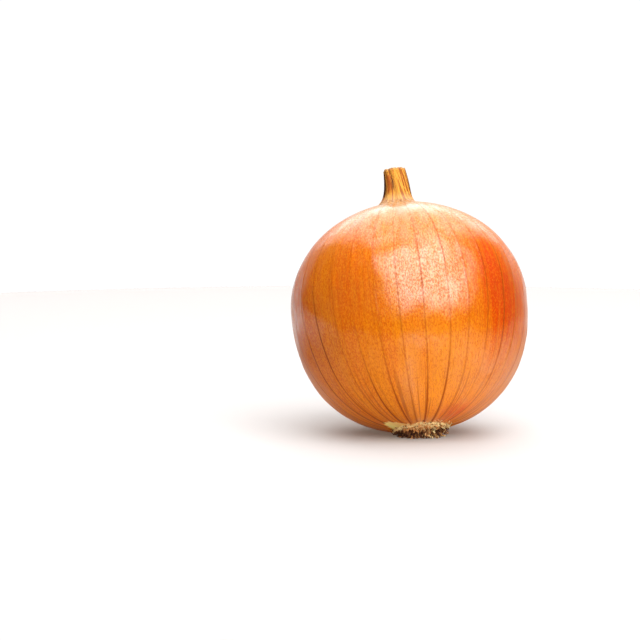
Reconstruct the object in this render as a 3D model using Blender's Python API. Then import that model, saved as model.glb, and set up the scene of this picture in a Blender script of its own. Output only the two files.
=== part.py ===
"""A whole brown onion at rest, with its neck leaning back and to one side.

The bulb is the round body in its dry skin, the neck is the withered stub on its crown, and the root
tuft is the basal plate with its dry root stubs. Each is modelled upright about the onion's own axis,
with height 0 at the widest ring. One empty leans them together, and what would lie below the ground,
z = 0, is cut off flat. The origin is where the bulb rests. Lengths are in metres.
"""

import math
import random

import bpy
import bmesh
from mathutils import Matrix, Vector

# Bulb
BULB_RADIUS = 0.0400
CROWN_HEIGHT = 0.0351
BASE_DEPTH = 0.0423
CROWN_FULLNESS = 2.03
BASE_FULLNESS = 2.25
CROWN_RINGS = 13
BASE_RINGS = 15
LEAN_BACK = math.radians(16.3)
LEAN_LEFT = math.radians(5.4)
FLAT_SPOT_SINK = 0.0003

# Veins that run from the roots to the neck as low ridges, and the bulb's slight lobes
VEINS = 32
STEPS_PER_VEIN = 3
VEIN_JITTER = 0.12
FIRST_VEIN = math.radians(-7.0)
RIDGE_HEIGHT = 0.00022
LOBE_HEIGHT = 0.00030

# Neck, and the socket that it stands in
LIP_RADIUS = 0.0058
LIP_RISE = 0.0013
LIP_REACH = 0.0016
SOCKET_RADIUS = 0.0046
SOCKET_DEPTH = 0.0042
NECK_LENGTH = 0.0107
NECK_TOP_RADIUS = 0.0042
NECK_FLARE_SHARE = 0.16
NECK_FLATNESS = 0.16
NECK_SLANT = 0.11
NECK_LEAN = 0.0006
NECK_BOW = 0.0005
NECK_STEPS = 48
PLEAT_HEIGHT = 0.00032

# Root tuft
PLATE_RADIUS = 0.0088
PLATE_THICKNESS = 0.0024
PLATE_DOME = 0.0003
PLATE_STEPS = 32
ROOTS = 88
ROOT_FIELD_RADIUS = 0.0074
ROOT_SINK = 0.0007
ROOT_RADIUS = 0.00062
ROOT_SIDES = 5
ROOT_LENGTH = 0.0046
OUTER_ROOT_LENGTH = 0.0036
ROOT_SPLAY = math.radians(20)
RIM_ROOTS = 30
RIM_ROOT_PLACE = 0.86
RIM_ROOT_LENGTH = 0.0028

# Clearance between pieces that touch
GAP = 0.0003

SEED = 11
GOLDEN_ANGLE = math.pi * (3 - math.sqrt(5))


def clear_scene():
    for thing in list(bpy.data.objects):
        bpy.data.objects.remove(thing, do_unlink=True)


def material(name, colour, roughness):
    made = bpy.data.materials.new(name)
    made.use_nodes = True
    shader = made.node_tree.nodes["Principled BSDF"]
    shader.inputs["Base Color"].default_value = (*colour, 1)
    shader.inputs["Roughness"].default_value = roughness
    shader.inputs["Metallic"].default_value = 0
    made.diffuse_color = (*colour, 1)
    return made


def at(radius, angle, height):
    """A point at an angle round the axis, measured from the front (-Y) towards +X."""
    return Vector((radius * math.sin(angle), -radius * math.cos(angle), height))


def even_angles(count):
    return [math.tau * i / count for i in range(count)]


def add_ring(mesh, points):
    return [mesh.verts.new(point) for point in points]


def round_ring(mesh, radius, height, angles):
    return add_ring(mesh, [at(radius, angle, height) for angle in angles])


def bridge(mesh, rings):
    """Joins each ring of points to the next one."""
    count = len(rings[0])
    for lower, upper in zip(rings, rings[1:]):
        for i in range(count):
            j = (i + 1) % count
            mesh.faces.new((lower[i], lower[j], upper[j], upper[i]))


def close_end(mesh, ring, height):
    """A fan of triangles from the ring to one point on the axis."""
    tip = mesh.verts.new((0, 0, height))
    for i in range(len(ring)):
        mesh.faces.new((ring[i - 1], ring[i], tip))


def finished(name, mesh, look):
    """An object from the bmesh, with its faces pointing out, shaded smooth except at sharp edges."""
    bmesh.ops.recalc_face_normals(mesh, faces=mesh.faces)
    data = bpy.data.meshes.new(name)
    mesh.to_mesh(data)
    mesh.free()
    data.shade_smooth()
    data.set_sharp_from_angle(angle=math.radians(40))
    data.materials.append(look)
    made = bpy.data.objects.new(name, data)
    bpy.context.scene.collection.objects.link(made)
    return made


def vein_angles():
    """The angle of each vein, evenly spread apart from a little natural jitter."""
    draw = random.Random(SEED)
    spacing = math.tau / VEINS
    return [FIRST_VEIN + spacing * (k + draw.uniform(-VEIN_JITTER, VEIN_JITTER)) for k in range(VEINS)]


def bulb_angles():
    """The angles of the bulb's points: one on each vein, and the others spread between the veins."""
    veins = vein_angles()
    angles = []
    for start, end in zip(veins, veins[1:] + [veins[0] + math.tau]):
        angles += [start + (end - start) * step / STEPS_PER_VEIN for step in range(STEPS_PER_VEIN)]
    return angles


def crown_height_at(radius):
    """The height of the bulb's upper surface, with its rise to the lip round the neck."""
    rounded = CROWN_HEIGHT * (1 - (radius / BULB_RADIUS) ** CROWN_FULLNESS) ** (1 / CROWN_FULLNESS)
    return rounded + LIP_RISE * math.exp((LIP_RADIUS - radius) / LIP_REACH)


def base_depth_at(radius):
    """How far the bulb's lower surface is below its widest ring."""
    return BASE_DEPTH * (1 - (radius / BULB_RADIUS) ** BASE_FULLNESS) ** (1 / BASE_FULLNESS)


def skin_profile():
    """(radius, height) points up the bulb's outside, from the root plate's hole to the lip."""
    points = []
    hole_radius = PLATE_RADIUS + GAP
    start = math.asin((hole_radius / BULB_RADIUS) ** (BASE_FULLNESS / 2))
    for step in range(BASE_RINGS):
        turn = start + (math.pi / 2 - start) * step / (BASE_RINGS - 1)
        radius = BULB_RADIUS * math.sin(turn) ** (2 / BASE_FULLNESS)
        depth = BASE_DEPTH * max(0.0, math.cos(turn)) ** (2 / BASE_FULLNESS)
        points.append((radius, -depth))
    shoulder = math.asin((1.5 * LIP_RADIUS / BULB_RADIUS) ** (CROWN_FULLNESS / 2))
    for step in range(1, CROWN_RINGS):
        turn = math.pi / 2 + (shoulder - math.pi / 2) * step / (CROWN_RINGS - 1)
        radius = BULB_RADIUS * math.sin(turn) ** (2 / CROWN_FULLNESS)
        points.append((radius, crown_height_at(radius)))
    for widening in (1.3, 1.15, 1.0):
        radius = LIP_RADIUS * widening
        points.append((radius, crown_height_at(radius)))
    return points


def relief(radius, height, angle, on_vein):
    """How far the skin stands out from its round outline at a point, for the veins and the lobes."""
    fade = (radius / BULB_RADIUS) ** 1.5
    lobes = math.cos(2 * angle + 0.7) + 0.6 * math.cos(3 * angle + 2.1 + height / BASE_DEPTH)
    return fade * (RIDGE_HEIGHT * on_vein + LOBE_HEIGHT * lobes)


def build_bulb(look):
    """The round body, with a hole at the base for the root plate and a socket for the neck."""
    mesh = bmesh.new()
    angles = bulb_angles()
    hole_top = plate_bottom_at(PLATE_RADIUS) + PLATE_THICKNESS + GAP
    rings = [round_ring(mesh, PLATE_RADIUS + GAP, hole_top, angles)]
    for radius, height in skin_profile():
        points = []
        for i, angle in enumerate(angles):
            on_vein = i % STEPS_PER_VEIN == 0
            points.append(at(radius + relief(radius, height, angle, on_vein), angle, height))
        rings.append(add_ring(mesh, points))
    lip_height = crown_height_at(LIP_RADIUS)
    socket_bottom = lip_height - SOCKET_DEPTH
    rings.append(round_ring(mesh, SOCKET_RADIUS, lip_height, angles))
    rings.append(round_ring(mesh, SOCKET_RADIUS, socket_bottom, angles))
    bridge(mesh, rings)
    close_end(mesh, rings[0], hole_top)
    close_end(mesh, rings[-1], socket_bottom)
    return finished("bulb", mesh, look)


def neck_pleats():
    """(count round the neck, turn, strength) of the folds that crease it lengthwise."""
    draw = random.Random(SEED + 1)
    return [(count, draw.uniform(0, math.tau), share) for count, share in ((5, 0.5), (8, 0.45), (13, 0.35))]


def neck_ring(mesh, foot, folds, share, inset=1.0, drop=0.0):
    """A ring of the stem at a share of its length; an inset ring lies inside its cut top."""
    flare = (LIP_RADIUS - NECK_TOP_RADIUS) * math.exp(-share / NECK_FLARE_SHARE)
    sway = NECK_BOW * math.sin(math.pi * share) - NECK_LEAN * share
    points = []
    for angle in even_angles(NECK_STEPS):
        fold = sum(strength * math.cos(count * (angle + 0.35 * share) + turn) for count, turn, strength in folds)
        out = (NECK_TOP_RADIUS + flare + PLEAT_HEIGHT * (0.25 + 0.75 * share) * fold) * inset
        point = at(out, angle, foot + NECK_LENGTH * share - drop)
        point.y *= 1 - NECK_FLATNESS * share
        point.z += max(0.0, share - 0.5) * 2 * (NECK_SLANT * point.x + 0.5 * PLEAT_HEIGHT * fold)
        point.x += sway
        points.append(point)
    return add_ring(mesh, points)


def build_neck(look):
    """The withered stub: a round plug in the socket, then a pleated, flattened stem cut off aslant."""
    mesh = bmesh.new()
    folds = neck_pleats()
    angles = even_angles(NECK_STEPS)
    lip_height = crown_height_at(LIP_RADIUS)
    foot = lip_height + GAP
    plug_bottom = lip_height - SOCKET_DEPTH + GAP
    plug_radius = SOCKET_RADIUS - GAP
    rings = [
        round_ring(mesh, plug_radius, plug_bottom, angles),
        round_ring(mesh, plug_radius, foot, angles),
    ]
    for share in (0.0, 0.07, 0.16, 0.28, 0.42, 0.56, 0.7, 0.84, 0.96):
        rings.append(neck_ring(mesh, foot, folds, share))
    for inset, drop in ((0.95, 0), (0.8, 0.0001), (0.7, 0.0010), (0.52, 0.0004), (0.36, 0.0013), (0.16, 0.0008)):
        rings.append(neck_ring(mesh, foot, folds, 1.0, inset, drop))
    bridge(mesh, rings)
    close_end(mesh, rings[0], plug_bottom)
    close_end(mesh, rings[-1], foot + NECK_LENGTH - 0.0009)
    return finished("neck", mesh, look)


def plate_bottom_at(radius):
    """The height of the root plate's domed underside, level with the skin at its rim."""
    return -base_depth_at(PLATE_RADIUS) - PLATE_DOME * (1 - (radius / PLATE_RADIUS) ** 2)


def build_plate(look):
    """The root plate: a thick disc set in the hole at the bulb's base."""
    mesh = bmesh.new()
    angles = even_angles(PLATE_STEPS)
    top = plate_bottom_at(PLATE_RADIUS) + PLATE_THICKNESS
    rings = [round_ring(mesh, PLATE_RADIUS, top, angles)]
    for radius in (PLATE_RADIUS, 0.6 * PLATE_RADIUS):
        rings.append(round_ring(mesh, radius, plate_bottom_at(radius), angles))
    bridge(mesh, rings)
    close_end(mesh, rings[0], top)
    close_end(mesh, rings[-1], plate_bottom_at(0))
    return finished("root_tuft", mesh, look)


def build_root(radius, angle, heading, splay, length, thickness, look):
    """One dry root, slightly bent and narrowing to a blunt tip, that starts inside the plate."""
    mesh = bmesh.new()
    start = at(radius, angle, plate_bottom_at(radius) + ROOT_SINK)
    direction = at(math.sin(splay), heading, -math.cos(splay))
    side = direction.orthogonal().normalized()
    across = direction.cross(side)
    rings = []
    for share, width in ((0.0, 1.15), (0.55, 1.0), (1.0, 0.72)):
        centre = start + direction * (length * share) + side * (0.12 * length * share ** 2)
        points = []
        for turn in even_angles(ROOT_SIDES):
            points.append(centre + (side * math.cos(turn) + across * math.sin(turn)) * thickness * width)
        rings.append(add_ring(mesh, points))
    bridge(mesh, rings)
    mesh.faces.new(rings[0])
    mesh.faces.new(rings[-1])
    return finished("root", mesh, look)


def build_roots(look, height_above_ground):
    """The roots all over the plate's underside, and a splayed ring of short ones at its rim.

    Those that would start at or below the ground are left out.
    """
    draw = random.Random(SEED + 2)
    placed = []
    for i in range(ROOTS):
        share = math.sqrt((i + 0.5) / ROOTS)
        angle = i * GOLDEN_ANGLE
        heading = angle + draw.uniform(-0.5, 0.5)
        splay = math.radians(4) + ROOT_SPLAY * share ** 2 + math.radians(draw.uniform(-7, 7))
        length = ROOT_LENGTH + (OUTER_ROOT_LENGTH - ROOT_LENGTH) * share ** 3
        length *= draw.uniform(0.8, 1.15)
        placed.append((ROOT_FIELD_RADIUS * share, angle, heading, splay, length, draw.uniform(0.8, 1.25)))
    for i in range(RIM_ROOTS):
        angle = math.tau * (i + draw.uniform(-0.25, 0.25)) / RIM_ROOTS
        splay = math.radians(draw.uniform(26, 40))
        length = RIM_ROOT_LENGTH * draw.uniform(0.8, 1.2)
        placed.append((RIM_ROOT_PLACE * PLATE_RADIUS, angle, angle, splay, length, draw.uniform(0.75, 1.0)))
    roots = []
    for radius, angle, heading, splay, length, width in placed:
        thickness = ROOT_RADIUS * width
        start = at(radius, angle, plate_bottom_at(radius) + ROOT_SINK)
        if height_above_ground(start) > thickness:
            roots.append(build_root(radius, angle, heading, splay, length, thickness, look))
    return roots


def fuse(piece, parts):
    """Joins the parts to the piece as one body, and removes them."""
    group = bpy.data.collections.new("parts")
    bpy.context.scene.collection.children.link(group)
    for part in parts:
        bpy.context.scene.collection.objects.unlink(part)
        group.objects.link(part)
    union = piece.modifiers.new("union", "BOOLEAN")
    union.operand_type = "COLLECTION"
    union.collection = group
    union.operation = "UNION"
    union.solver = "MANIFOLD"
    bpy.context.view_layer.update()
    graph = bpy.context.evaluated_depsgraph_get()
    joined = bpy.data.meshes.new_from_object(piece.evaluated_get(graph))
    piece.modifiers.clear()
    piece.data = joined
    for part in parts:
        bpy.data.objects.remove(part, do_unlink=True)
    bpy.data.collections.remove(group)


def onion_pose():
    """The matrix that leans the onion and sets its lowest point just under the origin."""
    lean = Matrix.Rotation(-LEAN_LEFT, 4, "Y") @ Matrix.Rotation(-LEAN_BACK, 4, "X")
    up = Vector((0, 0, 1))
    axis = lean.to_3x3() @ up
    tilt = axis.angle(up)
    order = BASE_FULLNESS / (BASE_FULLNESS - 1)
    depth_part = BASE_DEPTH * math.cos(tilt)
    width_part = BULB_RADIUS * math.sin(tilt)
    reach = (depth_part ** order + width_part ** order) ** (1 / order)
    depth = BASE_DEPTH * (depth_part / reach) ** (order - 1)
    radius = BULB_RADIUS * (width_part / reach) ** (order - 1)
    downhill = (axis * axis.z - up).normalized()
    lowest = downhill * radius - axis * depth
    return Matrix.Translation(-lowest - up * FLAT_SPOT_SINK) @ lean


def build_ground_cutter():
    """The block below the ground, a guide that is never part of the onion."""
    side = 4 * BULB_RADIUS
    height = BULB_RADIUS
    mesh = bmesh.new()
    bmesh.ops.create_cube(mesh, size=1)
    bmesh.ops.scale(mesh, vec=(side, side, height), verts=mesh.verts)
    bmesh.ops.translate(mesh, vec=(0, 0, -height / 2), verts=mesh.verts)
    data = bpy.data.meshes.new("ground_cutter")
    mesh.to_mesh(data)
    mesh.free()
    made = bpy.data.objects.new("ground_cutter", data)
    bpy.context.scene.collection.objects.link(made)
    made.hide_render = True
    made.display_type = "WIRE"
    return made


def main():
    clear_scene()
    skin_look = material("onion_skin", (0.72, 0.27, 0.06), 0.32)
    neck_look = material("dry_neck", (0.60, 0.33, 0.11), 0.75)
    root_look = material("dry_roots", (0.42, 0.30, 0.17), 0.85)

    pose = onion_pose()
    stance = bpy.data.objects.new("onion_axis", None)
    bpy.context.scene.collection.objects.link(stance)
    stance.matrix_world = pose

    bulb = build_bulb(skin_look)
    neck = build_neck(neck_look)
    tuft = build_plate(root_look)
    fuse(tuft, build_roots(root_look, lambda point: (pose @ point).z))
    for piece in (bulb, neck, tuft):
        piece.parent = stance

    cutter = build_ground_cutter()
    for piece in (bulb, tuft):
        cut = piece.modifiers.new("ground", "BOOLEAN")
        cut.operation = "DIFFERENCE"
        cut.object = cutter


main()
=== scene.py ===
"""The looks of a whole brown onion that rests with its neck leaning back, built round its fixed frame.

Every piece is first laid out upright about the onion's own axis, with height 0 at its widest ring,
and then leaned into place. Angles round the axis start at the front (-Y) and grow towards +X.
Lengths are in metres.
"""

import math
import random

import bpy
import numpy as np
from mathutils import Matrix, Vector


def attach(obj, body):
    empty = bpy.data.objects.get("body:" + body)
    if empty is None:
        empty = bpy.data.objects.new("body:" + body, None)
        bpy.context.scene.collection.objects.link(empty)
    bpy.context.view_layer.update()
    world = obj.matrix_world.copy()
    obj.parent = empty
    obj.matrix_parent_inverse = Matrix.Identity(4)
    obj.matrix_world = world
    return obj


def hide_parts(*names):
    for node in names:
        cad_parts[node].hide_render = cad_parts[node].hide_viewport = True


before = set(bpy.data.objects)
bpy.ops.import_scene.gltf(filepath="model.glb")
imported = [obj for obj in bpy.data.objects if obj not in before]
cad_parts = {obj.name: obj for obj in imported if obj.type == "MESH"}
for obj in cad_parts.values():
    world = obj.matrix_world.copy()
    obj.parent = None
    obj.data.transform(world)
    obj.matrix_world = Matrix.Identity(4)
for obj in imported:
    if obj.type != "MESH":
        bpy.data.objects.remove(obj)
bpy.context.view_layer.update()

MM = 0.001
SEED = 11
GOLDEN_ANGLE = 2.399963

# The bulb's form, as in the frame
BULB_RADIUS = 0.0400
CROWN_HEIGHT = 0.0351
BASE_DEPTH = 0.0423
CROWN_FULLNESS = 2.03
BASE_FULLNESS = 2.25
LEAN_BACK = math.radians(16.3)
LEAN_LEFT = math.radians(5.4)
FLAT_SPOT_SINK = 0.0003
LOBE_HEIGHT = 0.00030
LOBE_TURN = 0.7
THIRD_LOBE_TURN = 2.1
THIRD_LOBE_SHARE = 0.6
LIP_RADIUS = 0.0058
LIP_RISE = 0.0013
LIP_REACH = 0.0016
SOCKET_RADIUS = 0.0046
SOCKET_DEPTH = 0.0042

# The neck and the root plate, as in the frame
NECK_LENGTH = 0.0107
NECK_TOP_RADIUS = 0.0042
NECK_FLARE_SHARE = 0.16
NECK_FLATNESS = 0.16
NECK_LEAN = 0.0006
NECK_BOW = 0.0005
PLATE_RADIUS = 0.0088
PLATE_DOME = 0.0003

# Veins, and the columns of points from one to the next as shares of the way
VEINS = 32
VEIN_JITTER = 0.12
FIRST_VEIN = math.radians(-5.7)
VEIN_COLUMNS = (0.0, 0.022, 0.046, 0.08, 0.14, 0.24, 0.36, 0.5, 0.64, 0.76, 0.86, 0.92, 0.954, 0.978)
VEIN_LINE_WIDTH = 0.28 * MM
VEIN_RIDGE_WIDTH = 0.6 * MM
VEIN_RIDGE = 0.015 * MM

# The skin's mesh: how many rings, how much closer they lie at each end, and how it starts and ends
SKIN_RINGS = 176
MERIDIAN_STEPS = 6000
ROOT_END_FINENESS = 5.5
ROOT_END_REACH = 3.2 * MM
NECK_END_FINENESS = 3
NECK_END_REACH = 3 * MM
HOLE_GAP = 0.0001
HOLE_DEPTH = 0.0028
LIP_INSIDE = 0.98

# Heights of the skin's fine relief
PANEL_SKEW = 0.05 * MM
CREASE = 0.012 * MM
DENT = 0.09 * MM
SMALL_DENT = 0.022 * MM
GATHER = 0.06 * MM

# The outer skin's torn lower edge: how far it ends from the roots, in millimetres, and its relief
EDGE_DISTANCE = 1.3
EDGE_LEAST = 0.25
EDGE_OVER_ROOTS = 1.3
EDGE_TEAR = 4.5
EDGE_STEP = 0.22 * MM
EDGE_CURL = 0.16 * MM

# Soft patches of the skin: angle in degrees, height in millimetres, width in both, strength
BLUSH_SPOTS = (
    (46, -2, 12, 19, 1.0),
    (36, 9, 8, 9, 0.28),
    (64, -5, 13, 20, 0.6),
    (-29, 2, 15, 20, 0.4),
    (152, -6, 26, 26, 0.7),
    (228, 12, 22, 24, 0.8),
    (292, 2, 12, 22, 0.5),
    (38, -39.2, 18, 2.4, 0.65),
)
TAN_SPOTS = (
    (-11, -33, 5, 7, 0.5),
    (6, -24, 4, 6, -0.6),
)
GLOSS_SPOTS = (
    (4, -17.5, 9, 3.5, 0.75),
    (-5, -30, 6, 8, 0.75),
    (45, -27, 26, 12, 0.7),
    (44, -8, 11, 14, -0.45),
)

# The middles of the bulb's right side and of its tan side, in radians
RIGHT_SIDE = 0.5
TAN_SIDE = 0.9

# The withered neck's mesh, and its folds as (count round the neck, share of their depth)
NECK_COLUMNS = 260
NECK_RINGS = 70
NECK_FOLDS = ((5, 0.5), (8, 0.45), (13, 0.35))
NECK_FOLD = 0.28 * MM
NECK_THREAD = 0.05 * MM
NECK_RAGGED = 0.08 * MM

# How far its foot spreads over the lip and sinks into it, and how much longer it is than its node
NECK_SKIRT = 0.00065
NECK_SINK = 0.0006
NECK_RAISE = 0.0016

# The slope of its cut, its twist in radians, and the size that its fibres are drawn at in millimetres
NECK_SLANT = 0.05
NECK_TWIST = 0.35
NECK_FIBRE_RADIUS = 4.5
NECK_FIBRE_LENGTH = 10.7

# Torn layers in its cut top, from the outside in: (share of the radius, drop in millimetres)
TORN_LAYERS = (
    (0.97, -0.05), (0.93, 0.0), (0.89, 0.8), (0.86, 1.6), (0.82, 0.9), (0.78, 0.15), (0.73, 0.25),
    (0.70, 1.2), (0.66, 2.0), (0.62, 1.2), (0.57, 0.5), (0.52, 0.6), (0.48, 1.4), (0.44, 2.2),
    (0.38, 1.5), (0.32, 1.0), (0.26, 1.3), (0.20, 2.1), (0.10, 1.6),
)

# Roots: how many are tried, where they start, and the least height of a start over the ground
ROOTS = 1300
ROOT_FIELD = 8.7 * MM
ROOT_SINK = 0.3 * MM
ROOT_CLEARANCE = 0.35 * MM
ROOT_STEPS = 8
ROOT_SIDES = 6

# Their sizes in millimetres
ROOT_RADII = (0.09, 0.12, 0.17, 0.24, 0.30)
ROOT_LENGTH = 1.3
MIDDLE_ROOT_EXTRA = 3.2
ROOT_WAVES = (0.2, 0.7)

# Their splay in degrees, how far they turn aside in radians, and the share of them that is dark
ROOT_SPLAY = 10
RIM_ROOT_SPLAY = 35
SPLAY_SPREAD = (-10, 35)
HEADING_SPREAD = 2.0
DARK_ROOTS = 0.66

# The root plate
PLATE_COLUMNS = 120
PLATE_RINGS = 34
PLATE_THICKNESS = 0.0022
PLATE_MIDDLE = 0.3 * MM
PLATE_KNOBS = 0.12 * MM

# The crumbs round it: their sizes in millimetres, and the shares that lie astray and that are pale
CRUMB_TRIES = 1700
CRUMB_CORNERS = 6
CRUMB_CLEARANCE = 0.6 * MM
CRUMB_SIZES = (0.12, 0.55)
CRUMB_THICKNESSES = (0.10, 0.26)
CRUMB_UNEVENNESS = 0.28
STRAY_CRUMBS = 0.14
PALE_CRUMBS = 0.9
PALE_CRUMB_TONES = (0.7, 1.1)
DARK_CRUMB_TONE = 0.15

# Camera: where the widest ring's centre stands in the 640 x 640 picture, and the size of a pixel there
PICTURE_SIZE = 640
CENTRE_PIXEL = (408.4, 306.8)
PIXEL_SIZE = 0.3376 * MM
CAMERA_ELEVATION = math.radians(5.5)
LENS_MM = 135
SENSOR_MM = 36

# The floor, with a faint warm glow: painted bounce light that lifts and warms its shadow
FLOOR_RADIUS = 0.46
FLOOR_SHIFT = 0.32
FLOOR_SIDES = 96
FLOOR_GREY = (0.358, 0.350, 0.350)
FLOOR_GLOW_COLOUR = (1, 0.78, 0.60)
FLOOR_GLOW = 0.12

# Lights: name, azimuth and elevation in degrees, distance, width, height, strength.
# A light of strength 1 has LIGHT_POWER watts for each square metre.
LIGHTS = (
    ("key_light", 17, 47, 1.10, 0.98, 1.02, 1.40),
    ("second_light", 17, 47, 1.11, 1.32, 1.22, 1.40),
    ("third_light", 20, 47, 1.12, 1.72, 1.42, 1.36),
    ("wide_light", 24, 47, 1.14, 2.35, 1.68, 1.24),
    ("top_light", 180, 60, 1.20, 1.30, 1.75, 1.6),
    ("high_light", 180, 60, 1.22, 1.75, 2.05, 1.2),
)
LIGHT_POWER = 4

# The world turns from dim to bright between two values of a direction's Y, and looks white
WORLD_TURN = (0.6, 0.97)
WORLD_FRONT = 0.10
WORLD_BACK = 0.95
WORLD_SEEN = 1.05


# Shapes that several pieces share

def smooth_step(low, high, value):
    share = np.clip((value - low) / (high - low), 0, 1)
    return share * share * (3 - 2 * share)


def bell(offset, width):
    """1 in the middle, fading to both sides."""
    return np.exp(-(offset / width) ** 2)


def angle_between(theta, centre):
    return (theta - centre + math.pi) % math.tau - math.pi


def facing(theta, centre_deg, width_deg):
    """1 at one angle round the axis, fading to both sides."""
    return bell(angle_between(theta, math.radians(centre_deg)), math.radians(width_deg))


def ripple(seed, theta, along, counts, lengths, waves=24):
    """Smooth random relief with a spread of 1: a sum of waves with `counts` crests round the axis.

    `lengths` is the range of crests along the meridian, for `along` from 0 to 1. Each kind of relief
    has a seed of its own.
    """
    draw = np.random.default_rng(seed)
    total = np.zeros(np.broadcast(theta, along).shape)
    for _ in range(waves):
        count = int(draw.integers(counts[0], counts[1] + 1))
        length = draw.uniform(*lengths) * draw.choice((-1, 1))
        total = total + np.cos(count * theta + math.tau * length * along + draw.uniform(0, math.tau))
    return total * math.sqrt(2 / waves)


def onion_pose():
    """The matrix that leans the onion and sets its lowest point just under the origin, as in the frame."""
    lean = Matrix.Rotation(-LEAN_LEFT, 4, "Y") @ Matrix.Rotation(-LEAN_BACK, 4, "X")
    up = Vector((0, 0, 1))
    axis = lean.to_3x3() @ up
    tilt = axis.angle(up)
    order = BASE_FULLNESS / (BASE_FULLNESS - 1)
    depth_part = BASE_DEPTH * math.cos(tilt)
    width_part = BULB_RADIUS * math.sin(tilt)
    reach = (depth_part ** order + width_part ** order) ** (1 / order)
    depth = BASE_DEPTH * (depth_part / reach) ** (order - 1)
    radius = BULB_RADIUS * (width_part / reach) ** (order - 1)
    downhill = (axis * axis.z - up).normalized()
    lowest = downhill * radius - axis * depth
    return Matrix.Translation(-lowest - up * FLAT_SPOT_SINK) @ lean


POSE = onion_pose()
TURN = np.array(POSE.to_3x3())
UPWARD = TURN[2]


def placed(points):
    """Points laid out about the upright axis, leaned into the onion's place and cut flat by the ground."""
    points = points @ TURN.T + np.array(POSE.translation)
    points[..., 2] = np.maximum(points[..., 2], 0)
    return points


def height_over_ground(points):
    """How high points that are still laid out upright stand over the ground once they are placed."""
    return points @ UPWARD + POSE.translation.z


def upright(radius, theta, height):
    return np.stack(np.broadcast_arrays(radius * np.sin(theta), -radius * np.cos(theta), height), axis=-1)


def crown_height_at(radius):
    rounded = CROWN_HEIGHT * (1 - (radius / BULB_RADIUS) ** CROWN_FULLNESS) ** (1 / CROWN_FULLNESS)
    return rounded + LIP_RISE * np.exp((LIP_RADIUS - radius) / LIP_REACH)


def base_depth_at(radius):
    return BASE_DEPTH * (1 - (radius / BULB_RADIUS) ** BASE_FULLNESS) ** (1 / BASE_FULLNESS)


def plate_bottom_at(radius):
    return -base_depth_at(PLATE_RADIUS) - PLATE_DOME * (1 - (radius / PLATE_RADIUS) ** 2)


def vein_angles():
    draw = random.Random(SEED)
    spacing = math.tau / VEINS
    return [FIRST_VEIN + spacing * (k + draw.uniform(-VEIN_JITTER, VEIN_JITTER)) for k in range(VEINS)]


# Meshes

def mesh_object(name, points, faces, look, attributes=None):
    """A smooth-shaded mesh object with one value or vector per point for each attribute."""
    data = bpy.data.meshes.new(name)
    data.from_pydata(points.tolist(), [], faces)
    data.validate()
    data.shade_smooth()
    for label, values in (attributes or {}).items():
        values = np.asarray(values, np.float32)
        if values.ndim == 1:
            made = data.attributes.new(label, "FLOAT", "POINT")
            made.data.foreach_set("value", values)
        else:
            made = data.attributes.new(label, "FLOAT_VECTOR", "POINT")
            made.data.foreach_set("vector", values.ravel())
    data.materials.append(look)
    made = bpy.data.objects.new(name, data)
    bpy.context.scene.collection.objects.link(made)
    return made


def turned_faces(rings, columns):
    """The quads between `rings` closed rings of points, and a fan at each end to one more point."""
    i = np.arange(columns)
    j = (i + 1) % columns
    base = (np.arange(rings - 1) * columns)[:, None]
    quads = np.stack([base + i, base + j, base + columns + j, base + columns + i], axis=-1)
    faces = quads.reshape(-1, 4).tolist()
    first_tip = rings * columns
    last = (rings - 1) * columns
    faces += [[first_tip, int(b), int(a)] for a, b in zip(i, j)]
    faces += [[last + int(a), last + int(b), first_tip + 1] for a, b in zip(i, j)]
    return faces


def turned_object(name, grid, look, attributes):
    """A closed body from a grid of points [ring, column], its ends closed to their middles.

    It is laid out upright and then placed. Each attribute is a grid too.
    """
    rings, columns = grid.shape[:2]
    tips = np.stack([grid[0].mean(axis=0), grid[-1].mean(axis=0)])
    points = placed(np.concatenate([grid.reshape(-1, 3), tips]))
    spread = {}
    for label, values in attributes.items():
        values = np.broadcast_to(values, grid.shape if values.ndim == 3 else grid.shape[:2])
        ends = np.stack([values[0].mean(axis=0), values[-1].mean(axis=0)])
        flat = values.reshape(-1, 3) if values.ndim == 3 else values.reshape(-1)
        spread[label] = np.concatenate([flat, ends])
    return mesh_object(name, points, turned_faces(rings, columns), look, spread)


class Bunch:
    """Many small closed bodies, laid out upright and gathered in one mesh with a tone at each point."""

    def __init__(self):
        self.points, self.faces, self.tones = [], [], []
        self.count = 0

    def add(self, points, faces, tones):
        self.points.append(points)
        self.faces += [[corner + self.count for corner in face] for face in faces]
        self.tones.append(tones)
        self.count += len(points)

    def made(self, name, look):
        points = placed(np.concatenate(self.points))
        return mesh_object(name, points, self.faces, look, {"tone": np.concatenate(self.tones)})


# Materials

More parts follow.
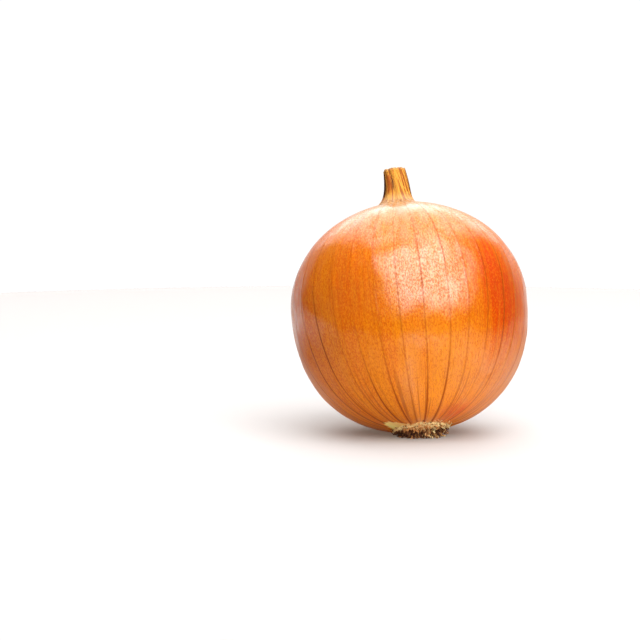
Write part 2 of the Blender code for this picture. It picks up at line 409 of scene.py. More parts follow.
class Shader:
    """A material made of nodes: each call adds one node and links its inputs."""

    def __init__(self, name):
        self.material = bpy.data.materials.new(name)
        self.material.use_nodes = True
        self.tree = self.material.node_tree
        self.tree.nodes.clear()
        output = self.tree.nodes.new("ShaderNodeOutputMaterial")
        self.surface = self.tree.nodes.new("ShaderNodeBsdfPrincipled")
        self.tree.links.new(self.surface.outputs[0], output.inputs["Surface"])

    def set(self, socket, value):
        """Links a node's output to the surface, or sets a plain value on its socket."""
        self.feed(self.surface.inputs[socket], value)

    def feed(self, socket, value):
        if isinstance(value, bpy.types.NodeSocket):
            self.tree.links.new(value, socket)
        elif isinstance(value, tuple) and len(value) == 3 and socket.type == "RGBA":
            socket.default_value = (*value, 1)
        else:
            socket.default_value = value

    def attribute(self, name, output="Fac"):
        node = self.tree.nodes.new("ShaderNodeAttribute")
        node.attribute_name = name
        return node.outputs[output]

    def stretched(self, flow, along):
        """The place on the skin, with lengths along the fibres shrunk so that spots turn into streaks."""
        node = self.tree.nodes.new("ShaderNodeMapping")
        node.inputs["Scale"].default_value = (1, 1, along)
        self.feed(node.inputs["Vector"], flow)
        return node.outputs[0]

    def noise(self, vector, scale, detail, roughness=0.55):
        node = self.tree.nodes.new("ShaderNodeTexNoise")
        self.feed(node.inputs["Vector"], vector)
        node.inputs["Scale"].default_value = scale
        node.inputs["Detail"].default_value = detail
        node.inputs["Roughness"].default_value = roughness
        return node.outputs["Fac"]

    def ranged(self, value, low, high, to_low=0.0, to_high=1.0, smooth=True):
        node = self.tree.nodes.new("ShaderNodeMapRange")
        node.interpolation_type = "SMOOTHSTEP" if smooth else "LINEAR"
        sockets = ("Value", "From Min", "From Max", "To Min", "To Max")
        for socket, given in zip(sockets, (value, low, high, to_low, to_high)):
            self.feed(node.inputs[socket], given)
        return node.outputs["Result"]

    def math(self, operation, first, second):
        node = self.tree.nodes.new("ShaderNodeMath")
        node.operation = operation
        self.feed(node.inputs[0], first)
        self.feed(node.inputs[1], second)
        return node.outputs[0]

    def mix(self, share, first, second, blend="MIX"):
        node = self.tree.nodes.new("ShaderNodeMix")
        node.data_type = "RGBA"
        node.blend_type = blend
        self.feed(node.inputs[0], share)
        self.feed(node.inputs[6], first)
        self.feed(node.inputs[7], second)
        return node.outputs[2]

    def bump(self, height, distance, normal=None):
        node = self.tree.nodes.new("ShaderNodeBump")
        node.inputs["Distance"].default_value = distance
        self.feed(node.inputs["Height"], height)
        if normal is not None:
            self.feed(node.inputs["Normal"], normal)
        return node.outputs[0]


AMBER = (0.46, 0.096, 0.0006)
GOLD = (0.485, 0.130, 0.0006)
TAN = (0.50, 0.155, 0.012)
BLUSH = (0.40, 0.030, 0.0005)
VEIN = (0.19, 0.034, 0.002)
FLECK_PALE = (0.56, 0.23, 0.002)
FLECK_DARK = (0.28, 0.048, 0.001)
PALE_SCALE = (0.66, 0.57, 0.19)
BEIGE_SCALE = (0.64, 0.34, 0.10)
DRY_STRAW = (0.40, 0.205, 0.075)
CREAM_AND_PAINTED_GLARE = (0.38, 0.255, 0.16)
NECK_BROWN = (0.24, 0.065, 0.006)
NECK_STRAW = (0.52, 0.23, 0.028)
NECK_GOLD = (0.60, 0.34, 0.05)
NECK_RUST = (0.30, 0.060, 0.005)
NECK_SHADE_COLOUR = (0.035, 0.008, 0.002)
NECK_PALE = (0.35, 0.255, 0.18)
ROOT_DARK = (0.060, 0.014, 0.007)
ROOT_TAN = (0.82, 0.36, 0.11)
ROOT_PALE = (1.0, 0.80, 0.38)


def skin_look():
    """Dry, glossy onion skin: fibres along the meridians, dark veins, red patches and a fine grain, with
    painted glare round the neck and painted bounce light low down.
    """
    s = Shader("onion_skin")
    flow = s.attribute("flow", "Vector")
    streaks = s.noise(s.stretched(flow, 0.05), 0.22, 3.0)
    fine_streaks = s.noise(s.stretched(flow, 0.04), 0.75, 2.0)
    fibres = s.noise(s.stretched(flow, 0.07), 2.2, 3.0, 0.6)
    grain = s.noise(s.stretched(flow, 0.55), 2.3, 2.0, 0.65)
    clouds = s.noise(flow, 0.07, 2.0)

    # Orange streaks, tan clouds and pale flecks
    colour = s.mix(s.ranged(streaks, 0.35, 0.68), AMBER, GOLD)
    colour = s.mix(s.ranged(clouds, 0.45, 0.75, 0.0, 0.25), colour, TAN)
    colour = s.mix(s.attribute("tan"), colour, TAN)
    colour = s.mix(s.ranged(grain, 0.50, 0.64, 0.0, 0.65), colour, s.mix(0.8, colour, FLECK_PALE))

    # Red patches, broken up by the streaks and the grain
    mottle = s.math("ADD", s.ranged(streaks, 0.3, 0.7, 0.2, 0.8), s.ranged(fine_streaks, 0.3, 0.7, 0.1, 0.9))
    blush = s.math("MULTIPLY", s.attribute("blush"), mottle)
    colour = s.mix(s.ranged(blush, 0.0, 1.0, smooth=False), colour, BLUSH)
    colour = s.mix(s.ranged(grain, 0.50, 0.62, 0.0, 0.5), colour, GOLD)

    # Fibres, fine dark lines that are strongest near the roots, and dark flecks
    colour = s.mix(s.ranged(fibres, 0.35, 0.8, 0.0, 0.45), colour, s.mix(0.55, colour, VEIN))
    lines = s.ranged(s.noise(s.stretched(flow, 0.02), 1.1, 1.0), 0.56, 0.66)
    colour = s.mix(s.math("MULTIPLY", lines, s.attribute("fan")), colour, VEIN)
    colour = s.mix(s.ranged(grain, 0.50, 0.36, 0.0, 0.65), colour, s.mix(0.8, colour, FLECK_DARK))

    # Dry, pale skin near the neck, partly painted glare, and at the torn edge, then the veins and the scale
    # under the edge
    threads = s.noise(s.stretched(flow, 0.2), 0.35, 3.0)
    dry = s.mix(s.ranged(threads, 0.35, 0.6), DRY_STRAW, CREAM_AND_PAINTED_GLARE)
    dry = s.mix(s.ranged(grain, 0.50, 0.36, 0.0, 0.3), dry, TAN)
    colour = s.mix(s.attribute("dry_and_glare"), colour, dry)
    colour = s.mix(s.attribute("vein"), colour, VEIN)
    inner = s.mix(s.attribute("green"), BEIGE_SCALE, PALE_SCALE)
    colour = s.mix(s.attribute("inner"), colour, inner)
    # Painted bounce light: the colour is multiplied by the lift, which is higher towards the roots
    s.set("Base Color", s.mix(1.0, colour, s.attribute("lift"), "MULTIPLY"))

    # The shine is a coat, glossier on some grains and blotches than on others
    blotches = s.noise(s.stretched(flow, 0.6), 0.26, 3.0)
    gloss = s.math("ADD", s.ranged(grain, 0.42, 0.58, 0.25, 0.8), s.ranged(blotches, 0.38, 0.6, 0.0, 0.3))
    normal = s.bump(grain, 0.015 * MM, s.bump(fibres, 0.015 * MM))
    s.set("Roughness", s.ranged(grain, 0.3, 0.8, 0.30, 0.50))
    s.set("Specular IOR Level", 0.03)
    s.set("Coat Weight", s.math("MULTIPLY", gloss, s.attribute("gloss")))
    s.set("Coat Roughness", 0.19)
    s.set("Coat IOR", 1.75)
    s.set("Normal", normal)
    s.set("Coat Normal", normal)
    return s.material


def neck_look():
    """Dry fibres: straw and gold, with red-brown stripes, and painted shade in dark stripes down its sides,
    in its folds and hollows.
    """
    s = Shader("dry_neck")
    flow = s.attribute("flow", "Vector")
    threads = s.noise(s.stretched(flow, 0.05), 2.3, 1.0, 0.6)
    stripes = s.noise(s.stretched(flow, 0.12), 0.8, 2.0)
    spots = s.noise(flow, 0.5, 2.0)
    colour = s.mix(s.ranged(threads, 0.42, 0.49), NECK_BROWN, NECK_STRAW)
    colour = s.mix(s.ranged(stripes, 0.58, 0.78, 0.0, 0.8), colour, NECK_RUST)
    colour = s.mix(s.ranged(spots, 0.6, 0.75, 0.0, 0.6), colour, NECK_GOLD)
    colour = s.mix(s.attribute("pale"), colour, NECK_PALE)
    colour = s.mix(s.attribute("rust"), colour, NECK_RUST)
    # Painted shade, near black, between the torn layers, in the folds, down both sides and round the foot
    colour = s.mix(s.attribute("dark"), colour, NECK_SHADE_COLOUR)
    s.set("Base Color", colour)
    s.set("Roughness", 0.62)
    s.set("Specular IOR Level", 0.12)
    s.set("Normal", s.bump(threads, 0.09 * MM))
    return s.material


def root_look():
    """Dry roots, plate and crumbs: dark brown where the tone is 0, tan at its middle and pale at 1."""
    s = Shader("dry_roots")
    where = s.tree.nodes.new("ShaderNodeTexCoord").outputs["Object"]
    spots = s.noise(where, 900.0, 3.0)
    tone = s.attribute("tone")
    colour = s.mix(s.ranged(tone, 0.0, 0.5), ROOT_DARK, ROOT_TAN)
    colour = s.mix(s.ranged(tone, 0.5, 1.0), colour, ROOT_PALE)
    colour = s.mix(s.ranged(spots, 0.5, 0.75, 0.0, 0.5), colour, ROOT_TAN)
    s.set("Base Color", colour)
    s.set("Roughness", 0.8)
    s.set("Specular IOR Level", 0.3)
    s.set("Normal", s.bump(spots, 0.08 * MM))
    return s.material


# The skin

def meridian():
    """(radius, height, distance along the skin) of each ring, from the root plate's hole to the neck's lip.

    The rings lie closer together near both ends.
    """
    hole = PLATE_RADIUS + HOLE_GAP
    start = math.asin((hole / BULB_RADIUS) ** (BASE_FULLNESS / 2))
    lower = np.linspace(start, math.pi / 2, MERIDIAN_STEPS)
    radius = BULB_RADIUS * np.sin(lower) ** (2 / BASE_FULLNESS)
    height = -BASE_DEPTH * np.clip(np.cos(lower), 0, 1) ** (2 / BASE_FULLNESS)
    end = math.asin((LIP_RADIUS * LIP_INSIDE / BULB_RADIUS) ** (CROWN_FULLNESS / 2))
    upper = np.linspace(math.pi / 2, end, MERIDIAN_STEPS)[1:]
    top_radius = BULB_RADIUS * np.sin(upper) ** (2 / CROWN_FULLNESS)
    radius = np.concatenate([radius, top_radius])
    height = np.concatenate([height, crown_height_at(top_radius)])
    distance = np.concatenate([[0], np.cumsum(np.hypot(np.diff(radius), np.diff(height)))])
    total = distance[-1]
    fineness = 1 + ROOT_END_FINENESS * np.exp(-distance / ROOT_END_REACH)
    fineness = fineness + NECK_END_FINENESS * np.exp((distance - total) / NECK_END_REACH)
    share = np.concatenate([[0], np.cumsum(np.diff(distance) * fineness[1:])])
    where = np.interp(np.linspace(0, share[-1], SKIN_RINGS), share, distance)
    return np.interp(where, distance, radius), np.interp(where, distance, height), where


def skin_columns():
    """For each column of points: its angle, the vein before it and how far it is to the next one."""
    veins = vein_angles()
    theta, panel, share = [], [], []
    for k, (start, end) in enumerate(zip(veins, veins[1:] + [veins[0] + math.tau])):
        for part in VEIN_COLUMNS:
            theta.append(start + (end - start) * part)
            panel.append(k)
            share.append(part)
    return np.array(theta), np.array(panel), np.array(share)


def torn_edge(theta):
    """How far from the roots the outer skin ends at each angle: a ragged line with one long tear."""
    edge = EDGE_DISTANCE + 0.35 * ripple(26, theta, 0, (2, 9), (0, 0.1), 8)
    edge = edge + 0.30 * ripple(27, theta, 0, (20, 70), (0, 0.1), 20)
    edge = edge + EDGE_OVER_ROOTS * facing(theta, 5, 45)
    edge = edge + EDGE_TEAR * facing(theta, -47, 17)
    return np.maximum(edge, EDGE_LEAST) * MM


class SkinLayout:
    """Where the skin's points lie: values for each ring as a column of numbers, for each angle as a row."""

    def __init__(self):
        radius, height, distance = meridian()
        theta, panel, share = skin_columns()
        self.radius, self.height, self.distance = radius[:, None], height[:, None], distance[:, None]
        self.theta, self.panel, self.share = theta[None, :], panel[None, :], share[None, :]
        self.along = self.distance / distance[-1]
        self.to_lip = self.distance - distance[-1]
        self.past_edge = self.distance - torn_edge(self.theta)
        self.panel_width = math.tau / VEINS * self.radius
        self.fade = (self.radius / BULB_RADIUS) ** 1.5


def lobes(at):
    """The bulb's slightly uneven roundness, as in the frame."""
    third = THIRD_LOBE_SHARE * np.cos(3 * at.theta + THIRD_LOBE_TURN + at.height / BASE_DEPTH)
    return at.fade * LOBE_HEIGHT * (np.cos(2 * at.theta + LOBE_TURN) + third)


def vein_strengths(at, draw):
    """How strong the nearest vein is at each point: each one waxes and wanes along its way."""
    strength = draw.uniform(0.45, 1.0, VEINS)
    nearest = np.where(at.share < 0.5, at.panel, (at.panel + 1) % VEINS)
    waxing = 0.75 + 0.3 * ripple(21, at.theta, at.along, (0, 9), (0.5, 3))
    strengths = strength[nearest] * np.clip(waxing, 0.15, 1.2)
    strengths = strengths * (1 + 0.6 * smooth_step(-0.025, -0.038, at.height))
    return strengths * (1 - 0.35 * smooth_step(0.008, 0.028, at.height))


def veins(at, draw):
    """The veins' dark lines, from 0 to about 1, and their low ridges."""
    to_vein = np.minimum(at.share, 1 - at.share) * at.panel_width
    strengths = vein_strengths(at, draw)
    lines = bell(to_vein, VEIN_LINE_WIDTH) * strengths
    ridges = VEIN_RIDGE * bell(to_vein, VEIN_RIDGE_WIDTH) * (0.4 + 0.6 * strengths)
    return lines, ridges * np.minimum(1, at.fade * 3)


def panels(at, draw):
    """The panels between the veins: each is flatter than the round, and skewed in its own way."""
    uneven = 1 + 0.35 * ripple(22, at.theta, at.along, (0, 6), (0.3, 2))
    flatness = draw.uniform(0.0, 0.3, VEINS)[at.panel] * uneven
    skew = draw.uniform(-1, 1, VEINS)[at.panel]
    sagitta = at.panel_width ** 2 / (8 * BULB_RADIUS)
    bow = 4 * at.share * (1 - at.share)
    return -sagitta * flatness * bow, PANEL_SKEW * skew * bow * (2 * at.share - 1) * at.fade


def wrinkles(at):
    """Creases along the meridians, dents large and small, and gathers towards the neck and the roots."""
    calm = at.fade * (1 - 0.6 * smooth_step(0.012, 0.026, at.height))
    near_ends = bell(at.to_lip, 9 * MM) + 0.8 * bell(at.distance, 8 * MM)
    return (
        CREASE * ripple(23, at.theta, at.along, (60, 190), (1, 7), 40) * np.minimum(1, at.fade * 2),
        DENT * calm * ripple(24, at.theta, at.along, (3, 16), (1, 5), 30),
        SMALL_DENT * calm * ripple(29, at.theta, at.along, (12, 40), (5, 16), 40),
        GATHER * near_ends * ripple(25, at.theta, at.along, (24, 70), (0, 1), 30),
    )


def edge_relief(at):
    """The step down from the outer skin to the next scale, and the torn edge where it curls outwards."""
    covered = smooth_step(-0.12 * MM, 0.12 * MM, at.past_edge)
    curl = bell(at.past_edge, 0.5 * MM) * np.clip(ripple(28, at.theta, 0, (5, 24), (0, 0.1), 12), 0, 1.5)
    return -EDGE_STEP * (1 - covered), EDGE_CURL * curl * covered


def pushed_out(at, relief):
    """The skin's points, moved off the meridian by the relief, square to it."""
    normal_radius = np.gradient(at.height[:, 0])
    normal_height = -np.gradient(at.radius[:, 0])
    size = np.hypot(normal_radius, normal_height)
    outwards, upwards = (normal_radius / size)[:, None], (normal_height / size)[:, None]
    return upright(at.radius + relief * outwards, at.theta, at.height + relief * upwards)


def spots(at, rows, start=0):
    """The sum of soft patches on the bulb, each at an angle and a height above the widest ring."""
    total = start
    for centre_deg, centre_mm, width_deg, width_mm, strength in rows:
        across = angle_between(at.theta, math.radians(centre_deg)) / math.radians(width_deg)
        along = (at.height - centre_mm * MM) / (width_mm * MM)
        total = total + strength * np.exp(-across ** 2 - along ** 2)
    return total


def right_side(at):
    """1 round the right side, from the front to behind, and 0 on the left."""
    turned = np.degrees(angle_between(at.theta, RIGHT_SIDE)) + math.degrees(RIGHT_SIDE)
    return smooth_step(-8, -4, turned)


def tan_share(at):
    """How tan the skin is: it is so low down, and most of all on the right."""
    low = smooth_step(-0.010, -0.022, at.height)
    side = right_side(at) * (np.cos(at.theta - TAN_SIDE) > -0.6)
    return spots(at, TAN_SPOTS, low * (0.15 + 0.65 * side))


def gloss_share(at, lines):
    """How much of the glossy coat there is: less low down, round the neck and on the veins."""
    gloss = 1 - 0.75 * smooth_step(-0.003, -0.016, at.height)
    gloss = gloss * (1 - 0.35 * smooth_step(0.010, 0.022, at.height))
    shoulder = 1 + 0.1 * smooth_step(-24 * MM, -16 * MM, at.to_lip)
    gloss = gloss * (shoulder - 0.75 * smooth_step(-18 * MM, -8 * MM, at.to_lip))
    return spots(at, GLOSS_SPOTS, gloss) * (1 - 0.9 * np.clip(lines, 0, 1))


def painted_bounce_light(at):
    """A factor on the skin's colour that paints light in: higher towards the roots and most of all low on
    the right, as painted bounce light from the floor, and lower towards the neck.
    """
    lift = 1 + 0.5 * smooth_step(-0.010, -0.040, at.height)
    lift = lift - 0.15 * smooth_step(-26 * MM, -12 * MM, at.to_lip)
    return lift + 0.3 * smooth_step(-0.028, -0.039, at.height) * right_side(at)


def dry_skin_and_glare(at):
    """Pale skin round the neck, part dry skin and part painted glare, and a little dry skin along the torn
    edge over the roots.
    """
    dry = 0.92 * smooth_step(-28 * MM, -8 * MM, at.to_lip)
    return dry + 0.34 * facing(at.theta, 5, 38) * bell(at.past_edge, 2.8 * MM)


def flow_on_skin(at):
    """A place for each point, in millimetres, whose Z runs along the meridian and never bunches up."""
    equator = BULB_RADIUS / MM
    return np.stack(np.broadcast_arrays(equator * np.sin(at.theta), -equator * np.cos(at.theta),
                                        at.distance / MM), axis=-1)


def with_walls(values):
    """A grid with one more ring at its start, for the hole's wall, and two at its end, for the socket's."""
    return np.concatenate([values[:1], values, values[-1:], values[-1:]])


def build_skin(look):
    """The whole outer skin, with what its look follows painted on its points."""
    at = SkinLayout()
    draw = np.random.default_rng(SEED)
    lines, ridges = veins(at, draw)
    relief = sum((lobes(at), ridges, *panels(at, draw), *wrinkles(at), *edge_relief(at)))

    # The hole's wall and the socket's wall close the body
    lip = crown_height_at(LIP_RADIUS)
    hole_top = plate_bottom_at(PLATE_RADIUS) + HOLE_DEPTH
    grid = np.concatenate([
        upright(PLATE_RADIUS + HOLE_GAP / 2, at.theta, hole_top),
        pushed_out(at, relief),
        upright(SOCKET_RADIUS, at.theta, lip),
        upright(SOCKET_RADIUS, at.theta, lip - SOCKET_DEPTH),
    ])
    # The lift paints bounce light low down, and the pale skin round the neck is dry skin with painted glare
    painted = {
        "vein": np.clip(lines, 0, 1),
        "blush": spots(at, BLUSH_SPOTS),
        "tan": np.clip(tan_share(at), 0, 1),
        "gloss": np.clip(gloss_share(at, lines), 0, None),
        "fan": 0.12 + 0.45 * smooth_step(-0.022, -0.038, at.height),
        "lift": painted_bounce_light(at),
        "inner": 1 - smooth_step(-0.9 * MM, 0.4 * MM, at.past_edge),
        "dry_and_glare": dry_skin_and_glare(at),
        "green": facing(at.theta, -62, 23),
    }
    attributes = {"flow": with_walls(flow_on_skin(at))}
    for label, values in painted.items():
        attributes[label] = with_walls(np.broadcast_to(values, relief.shape))
    skin = turned_object("skin", grid, look, attributes)
    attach(skin, "root")
    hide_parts("bulb")


# The neck

def neck_pleats():
    """(count round the neck, turn, strength) of the folds that crease it lengthwise."""
    draw = random.Random(SEED + 1)
    return [(count, draw.uniform(0, math.tau), strength) for count, strength in NECK_FOLDS]


def neck_centre(share):
    """How far the neck sways aside at a share of its height."""
    return NECK_BOW * np.sin(math.pi * share) - NECK_LEAN * share


def neck_profile():
    """(share of the height, share of the radius, drop) of each ring: up the sheath, then the torn layers."""
    profile = [(share, 1.0, 0.0) for share in np.linspace(0, 1, NECK_RINGS) ** 1.15]
    profile += [(1.0, inset, drop * MM) for inset, drop in TORN_LAYERS]
    return (np.array(column)[:, None] for column in zip(*profile))


def neck_points(theta, share, inset, drop, folds):
    """The pleated sheath, flattened and slanting at the top, with its left side bowed in."""
    twist = theta + NECK_TWIST * share
    threads = ripple(31, twist, share, (24, 80), (0, 0.8), 40)
    flare = (LIP_RADIUS + NECK_SKIRT - NECK_TOP_RADIUS) * np.exp(-share / NECK_FLARE_SHARE)
    out = NECK_TOP_RADIUS + flare + NECK_FOLD * (0.3 + 0.45 * share) * folds + NECK_THREAD * threads
    out = out * inset
    bowed_in = (0.55 * share ** 2 + 1.1 * share - 0.85) * MM * facing(theta, -90, 50)
    x = out * np.sin(theta) * (1 - 0.05 * share) + bowed_in
    y = -out * np.cos(theta) * (1 - NECK_FLATNESS * share)
    foot = crown_height_at(LIP_RADIUS) - NECK_SINK
    top = foot + (NECK_LENGTH + NECK_RAISE) * share - drop
    ragged = ripple(32, theta + 1.7 * inset, 0, (6, 40), (0, 0.1), 24)
    upper_half = np.clip(share - 0.5, 0, None) * 2
    height = top + upper_half * (NECK_SLANT * x + NECK_RAGGED * ragged * (0.4 + 0.6 * inset))
    return np.stack([x + neck_centre(share), y, height], axis=-1)


def neck_painted_shade(theta, share, inset, folds):
    """Painted shade: dark between the torn layers, along both sides and one crease, in the folds and round
    the foot.
    """
    outside = inset == 1
    crease = 0.7 * facing(theta, -21, 3.5) * smooth_step(0.3, 0.45, share)
    stripes = facing(theta, -78, 20) + crease * (1 - smooth_step(0.6, 0.8, share))
    stripes = stripes + 0.8 * facing(theta, 86, 13)
    stripes = stripes * smooth_step(0.15, 0.3, share) * (1 - 0.5 * smooth_step(0.85, 1.0, share))
    dark = 0.9 * np.clip(1 - inset, 0, 1) ** 0.7 + stripes * outside
    dark = dark + 0.35 * np.clip(-folds - 0.35, 0, 1) * outside
    return dark + 0.25 * bell(share - 0.045, 0.02) * outside


def build_neck(look):
    """The withered stem: a pleated outer sheath with torn layers inside its cut top."""
    theta = np.linspace(0, math.tau, NECK_COLUMNS, endpoint=False)[None, :]
    share, inset, drop = neck_profile()
    twist = theta + NECK_TWIST * share
    folds = sum(strength * np.cos(count * twist + turn) for count, turn, strength in neck_pleats())
    flow = np.stack(np.broadcast_arrays(NECK_FIBRE_RADIUS * np.sin(twist) * inset,
                                        -NECK_FIBRE_RADIUS * np.cos(twist) * inset,
                                        share * NECK_FIBRE_LENGTH), axis=-1)
    rust = facing(theta, -38, 15) * smooth_step(0.25, 0.4, share)
    pale_top = 0.4 * (inset == 1) * smooth_step(0.93, 1.0, share)
    neck = turned_object("neck_stem", neck_points(theta, share, inset, drop, folds), look, {
        "flow": flow,
        # painted shade between the torn layers, in the folds, down the sides and round the foot
        "dark": np.clip(neck_painted_shade(theta, share, inset, folds), 0, 1),
        "pale": 0.35 * (1 - smooth_step(0.05, 0.35, share)) + pale_top,
        "rust": 0.8 * rust * (1 - smooth_step(0.75, 0.9, share)),
    })
    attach(neck, "root")
    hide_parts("neck")


# The roots

def tube(centres, radii):
    """Points and faces of one closed tube along a line of centres, with a radius for each point.

    The tube's sides are counted from one slanting direction that hardly any root follows.
    """
    sides = radii.shape[1]
    ahead = np.gradient(centres, axis=0)
    ahead /= np.linalg.norm(ahead, axis=1)[:, None]
    slanting = np.array([0.31, 0.87, 0.38])
    side = np.cross(ahead, slanting)
    side /= np.linalg.norm(side, axis=1)[:, None]
    across = np.cross(ahead, side)
    turn = np.linspace(0, math.tau, sides, endpoint=False)[None, :, None]
    spokes = np.cos(turn) * side[:, None, :] + np.sin(turn) * across[:, None, :]
    rings = centres[:, None, :] + radii[:, :, None] * spokes
    points = np.concatenate([rings.reshape(-1, 3), centres[:1], centres[-1:]])
    return points, turned_faces(len(centres), sides)


def root_line(draw, start, theta, share, near, t):
    """The centres of one root: it splays out from the plate and waves more towards its tip."""
    heading = theta + draw.uniform(-HEADING_SPREAD, HEADING_SPREAD)
    splay = math.radians(ROOT_SPLAY + RIM_ROOT_SPLAY * share ** 2 + draw.uniform(*SPLAY_SPREAD))
    long = (1 - smooth_step(0.45, 1.0, share)) * (1 - smooth_step(0.15, 0.8, near))
    length = (ROOT_LENGTH + MIDDLE_ROOT_EXTRA * long) * MM * draw.uniform(0.45, 1.4)
    outwards = math.sin(splay)
    direction = np.array([outwards * math.sin(heading), -outwards * math.cos(heading), -math.cos(splay)])
    side = np.cross(direction, draw.normal(size=3))
    side /= np.linalg.norm(side)
    swing = np.sin(t * draw.uniform(2, 7) + draw.uniform(0, 6)) * t
    wave = np.outer(swing, side) * draw.uniform(*ROOT_WAVES) * MM
    return start + np.outer(t * length, direction) + wave


def root_tones(draw, theta, share, near, t):
    """The tone of each point of one root: it pales towards the tip, most in front, and is painted lighter on
    the right and darker on the left as light and shade.
    """
    # Painted light and shade: roots lighter on the right, darker on the left
    bright = min(1.1, max(0.12, 0.8 + 1.1 * share * math.sin(theta)))
    pale = bright * (draw.uniform(0.0, 0.25) if draw.random() < DARK_ROOTS else draw.uniform(0.6, 1.1))
    pale = min(1.0, pale + 0.65 * float(smooth_step(0.3, 0.95, near)))
    tone = np.repeat(pale * (0.35 + 0.65 * t), ROOT_SIDES)
    return np.concatenate([tone, [pale * 0.35, min(1, pale * 1.15)]])


def build_roots(look):
    """Wiry dry roots all over the plate, pressed flat where they meet the ground."""
    draw = np.random.default_rng(SEED + 40)
    t = np.linspace(0, 1, ROOT_STEPS)
    bunch = Bunch()
    for i in range(ROOTS):
        share = math.sqrt((i + 0.5) / ROOTS)
        theta = i * GOLDEN_ANGLE + draw.uniform(-0.2, 0.2)
        radius = ROOT_FIELD * share
        start = upright(radius, theta, plate_bottom_at(radius) + ROOT_SINK)
        if height_over_ground(start) < ROOT_CLEARANCE:
            continue
        near = share * math.cos(theta)
        centres = root_line(draw, start, theta, share, near, t)
        thickness = draw.choice(ROOT_RADII) * MM
        uneven = 1 + 0.16 * draw.normal(size=(ROOT_STEPS, ROOT_SIDES))
        radii = thickness * (1.15 - 0.45 * t)[:, None] * uneven
        lift = np.clip(thickness * 0.8 - height_over_ground(centres), 0, None)
        points, faces = tube(centres + np.outer(lift, UPWARD), radii)
        bunch.add(points, faces, root_tones(draw, theta, share, near, t))
    tuft = bunch.made("root_strands", look)
    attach(tuft, "root")
    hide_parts("root_tuft")


def build_plate(look):
    """The knobbly root plate that the roots grow from."""
    theta = np.linspace(0, math.tau, PLATE_COLUMNS, endpoint=False)[None, :]
    top = plate_bottom_at(PLATE_RADIUS) + PLATE_THICKNESS
    inwards = np.linspace(PLATE_RADIUS, PLATE_MIDDLE, PLATE_RINGS)
    radii = np.concatenate([[PLATE_RADIUS], inwards])[:, None]
    heights = np.concatenate([[[top]], plate_bottom_at(radii[1:])])
    bumps = ripple(41, theta, radii / PLATE_RADIUS, (6, 40), (1, 9), 40)
    below = (np.arange(len(radii)) > 0)[:, None]
    grid = upright(radii, theta, heights - PLATE_KNOBS * np.clip(bumps, -1, 2) * below)
    tone = np.clip(0.22 + 0.12 * bumps + 0.3 * smooth_step(0.8, 1.0, radii / PLATE_RADIUS), 0, 1)

    # The rings run downwards and inwards, so the columns are turned round for the faces to point out
    plate = turned_object("root_plate", grid[:, ::-1], look, {"tone": tone[:, ::-1]})
    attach(plate, "root")


def crumb_points(draw, centre, theta, size):
    """One flake of dry scale, bent and lying about flat on the bulb."""
    turn = np.linspace(0, math.tau, CRUMB_CORNERS, endpoint=False) + draw.uniform(0, 1)
    reach = size * draw.uniform(0.55, 1.15, CRUMB_CORNERS)
    lying = upright(np.array([0.0, -0.8, 0.6]), theta, np.array([0.0, -0.5, -0.8]))
    lying[0] = (math.cos(theta), math.sin(theta), 0)
    axes = np.linalg.qr((lying + draw.normal(0, CRUMB_UNEVENNESS, size=(3, 3))).T)[0].T
    wide = np.outer(np.cos(turn) * reach, axes[0])
    flat = wide + np.outer(np.sin(turn) * reach * draw.uniform(0.25, 0.8), axes[1])
    thick = draw.uniform(*CRUMB_THICKNESSES) * MM * axes[2]
    bend = np.outer((np.cos(turn) ** 2) * 0.3 * size, axes[2])
    rims = (centre + flat + bend - thick / 2, centre + flat * 0.8 + bend + thick / 2)
    return np.concatenate([*rims, [centre - thick * 0.5, centre + thick * 0.8]])


def build_crumbs(look):
    """Crumbs and scraps of dry scale round the plate's rim, most of them pale and in front."""
    draw = np.random.default_rng(SEED + 50)
    faces = turned_faces(2, CRUMB_CORNERS)
    bunch = Bunch()
    for _ in range(CRUMB_TRIES):
        theta = draw.uniform(0, math.tau)
        front = max(0.0, math.cos(theta - 0.3))
        radius = (9.3 + 1.6 * front - abs(draw.normal(0, 0.5 + 2.0 * front))) * MM
        stray = draw.random() < STRAY_CRUMBS
        radius += stray * draw.uniform(0.3, 2.0) * MM * front
        size = draw.uniform(*CRUMB_SIZES) * MM
        depth = -base_depth_at(max(radius, PLATE_RADIUS)) - draw.uniform(-0.1, 0.2 if stray else 0.6) * MM
        centre = upright(radius, theta, depth)
        if height_over_ground(centre) < CRUMB_CLEARANCE:
            continue
        points = crumb_points(draw, centre, theta, size)
        tone = draw.uniform(*PALE_CRUMB_TONES) if draw.random() < PALE_CRUMBS else DARK_CRUMB_TONE
        bunch.add(points, faces, np.full(len(points), tone))
    crumbs = bunch.made("root_crumbs", look)
    crumbs.data.shade_flat()
    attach(crumbs, "root")


# Floor, lights, world and camera

def build_floor():
    s = Shader("floor")
    s.set("Base Color", FLOOR_GREY)
    # A faint warm glow: painted bounce light
    s.set("Emission Color", FLOOR_GLOW_COLOUR)
    s.set("Emission Strength", FLOOR_GLOW)
    s.set("Roughness", 0.7)
    s.set("Specular IOR Level", 0.1)
    turn = np.linspace(0, math.tau, FLOOR_SIDES, endpoint=False)
    points = FLOOR_RADIUS * np.stack([np.cos(turn), np.sin(turn) + FLOOR_SHIFT, 0 * turn], axis=-1)
    floor = mesh_object("floor", points, [list(range(FLOOR_SIDES))], s.material)


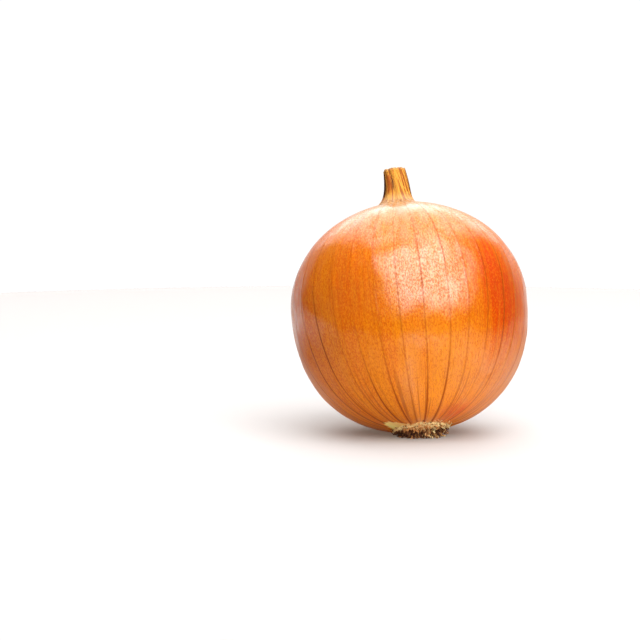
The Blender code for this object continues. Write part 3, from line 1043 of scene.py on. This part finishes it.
def softbox(name, azimuth_deg, elevation_deg, distance, width, height, strength):
    """A rectangular light that faces the onion. Azimuth 0 is in front (-Y) and grows towards +X."""
    azimuth, elevation = math.radians(azimuth_deg), math.radians(elevation_deg)
    level = math.cos(elevation)
    towards = Vector((math.sin(azimuth) * level, -math.cos(azimuth) * level, math.sin(elevation)))
    data = bpy.data.lights.new(name, "AREA")
    data.shape = "RECTANGLE"
    data.size = width
    data.size_y = height
    data.energy = strength * LIGHT_POWER * width * height
    light = bpy.data.objects.new(name, data)
    light.location = POSE.translation + towards * distance
    light.rotation_euler = towards.to_track_quat("Z", "Y").to_euler()
    bpy.context.scene.collection.objects.link(light)


def build_world():
    """White to look at; as a light it is bright behind the onion and dim in front of it."""
    world = bpy.data.worlds.new("studio")
    bpy.context.scene.world = world
    world.use_nodes = True
    tree = world.node_tree
    background = tree.nodes["Background"]
    background.inputs["Color"].default_value = (1, 1, 1, 1)
    direction = tree.nodes.new("ShaderNodeTexCoord")
    parts = tree.nodes.new("ShaderNodeSeparateXYZ")
    glow = tree.nodes.new("ShaderNodeMapRange")
    glow.interpolation_type = "SMOOTHSTEP"
    sockets = ("From Min", "From Max", "To Min", "To Max")
    for socket, value in zip(sockets, (*WORLD_TURN, WORLD_FRONT, WORLD_BACK)):
        glow.inputs[socket].default_value = value
    seen = tree.nodes.new("ShaderNodeLightPath")
    strength = tree.nodes.new("ShaderNodeMix")
    strength.inputs["B"].default_value = WORLD_SEEN
    tree.links.new(direction.outputs["Generated"], parts.inputs[0])
    tree.links.new(parts.outputs["Y"], glow.inputs["Value"])
    tree.links.new(seen.outputs["Is Camera Ray"], strength.inputs["Factor"])
    tree.links.new(glow.outputs["Result"], strength.inputs["A"])
    tree.links.new(strength.outputs["Result"], background.inputs["Strength"])


def build_camera():
    focal_pixels = LENS_MM / SENSOR_MM * PICTURE_SIZE
    distance = PIXEL_SIZE * focal_pixels
    ahead = Vector((0, math.cos(CAMERA_ELEVATION), -math.sin(CAMERA_ELEVATION)))
    right = Vector((1, 0, 0))
    up = right.cross(ahead)
    across = (CENTRE_PIXEL[0] - PICTURE_SIZE / 2) * PIXEL_SIZE
    above = (PICTURE_SIZE / 2 - CENTRE_PIXEL[1]) * PIXEL_SIZE
    data = bpy.data.cameras.new("camera")
    data.lens = LENS_MM
    data.sensor_width = SENSOR_MM
    camera = bpy.data.objects.new("camera", data)
    camera.location = POSE.translation - ahead * distance - right * across - up * above
    camera.rotation_euler = (math.pi / 2 - CAMERA_ELEVATION, 0, 0)
    bpy.context.scene.collection.objects.link(camera)
    bpy.context.scene.camera = camera


bpy.context.scene.view_settings.view_transform = "Standard"
build_camera()
for row in LIGHTS:
    softbox(*row)
build_world()
build_floor()
build_skin(skin_look())
build_neck(neck_look())
dry_roots = root_look()
build_plate(dry_roots)
build_roots(dry_roots)
build_crumbs(dry_roots)
